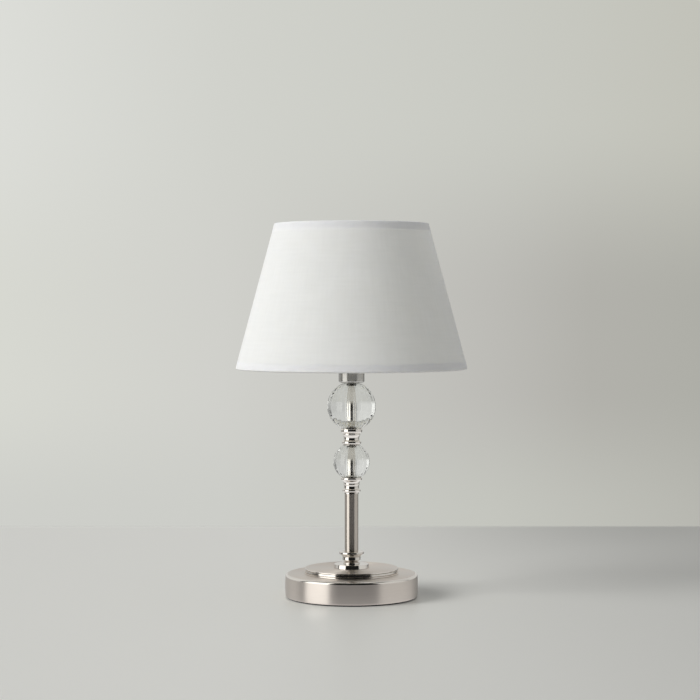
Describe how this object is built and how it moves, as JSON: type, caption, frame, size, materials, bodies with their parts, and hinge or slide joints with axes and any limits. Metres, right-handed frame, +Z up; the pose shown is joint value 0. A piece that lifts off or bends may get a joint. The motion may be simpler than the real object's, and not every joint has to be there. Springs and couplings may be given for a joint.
{
  "type": "table lamp",
  "caption": "Table lamp with a stepped nickel base, a slim column carrying two fluted glass balls, an E14 holder with its bulb, and a tapered cloth shade that turns.",
  "frame": {"origin": "on the table, under the middle of the base", "axes": "+Z up along the column; -Y is the front that the picture shows, and the cord gland is at +Y; +X to the right seen from the front"},
  "size_m": [0.25, 0.25, 0.4021],
  "materials": {
    "satin_nickel": "brushed satin nickel",
    "polished_nickel": "polished nickel",
    "zinc_steel": "zinc plated",
    "casting": "rough casting",
    "felt": "felt",
    "rubber": "moulded",
    "ball_glass": "clear, fluted",
    "seal": "clear soft seal",
    "insulation": "moulded",
    "brass": "bright",
    "aluminium": "pressed",
    "opal": "opal",
    "white_wire": "white enamel",
    "shade_cloth": "off-white woven cloth on a stiff backing"
  },
  "bodies": {
    "stand": {"felt_pad": "felt", "base_cover": "satin_nickel", "base_weight": "casting", "cord_gland": "rubber", "base_step": "satin_nickel", "foot_flange": "polished_nickel", "foot_collar": "polished_nickel", "stem_tube": "satin_nickel", "stem_collar": "polished_nickel", "middle_collar": "polished_nickel", "lower_ball": "ball_glass", "upper_ball": "ball_glass", "lower_ball_foot_seal": "seal", "lower_ball_top_seal": "seal", "upper_ball_foot_seal": "seal", "upper_ball_top_seal": "seal", "hollow_rod": "polished_nickel", "foot_washer": "zinc_steel", "foot_nut": "zinc_steel", "head_nut": "zinc_steel", "holder_cup": "satin_nickel", "holder_base": "insulation", "terminal_screw_left": "brass", "terminal_screw_right": "brass", "centre_contact": "brass", "side_contact": "brass", "screw_shell": "brass", "holder_skirt": "insulation"},
    "shade": {"shade_cloth": "shade_cloth", "shade_lower_wire": "white_wire", "shade_upper_wire": "white_wire", "shade_fitter": "white_wire", "shade_spoke_1": "white_wire", "shade_spoke_2": "white_wire", "shade_spoke_3": "white_wire"},
    "ring_nut": {"shade_ring": "insulation"},
    "bulb_contact": {"bulb_tip": "brass"},
    "bulb": {"bulb_insulator": "rubber", "bulb_cap": "aluminium", "bulb_housing": "opal", "bulb_dome": "opal"}
  },
  "joints": [
    {"name": "shade_turn", "type": "hinge", "parent": "stand", "child": "shade", "pos_m": [0, 0, 0.2563], "axis": [0, 0, 1], "continuous": true},
    {"name": "shade_ring_turn", "type": "hinge", "parent": "stand", "child": "ring_nut", "pos_m": [0, 0, 0.2598], "axis": [0, 0, 1], "range_deg": [0, 90]},
    {"name": "bulb_rise", "type": "slide", "parent": "stand", "child": "bulb_contact", "axis": [0, 0, 1], "range_m": [0, 0.0085]},
    {"name": "bulb_turn", "type": "hinge", "parent": "bulb_contact", "child": "bulb", "pos_m": [0, 0, 0.26], "axis": [0, 0, 1], "range_deg": [0, 1080]}
  ],
  "couplings": [
    {"joint": "bulb_rise", "follows": "bulb_turn", "m_per_rad": 0.00044882}
  ]
}
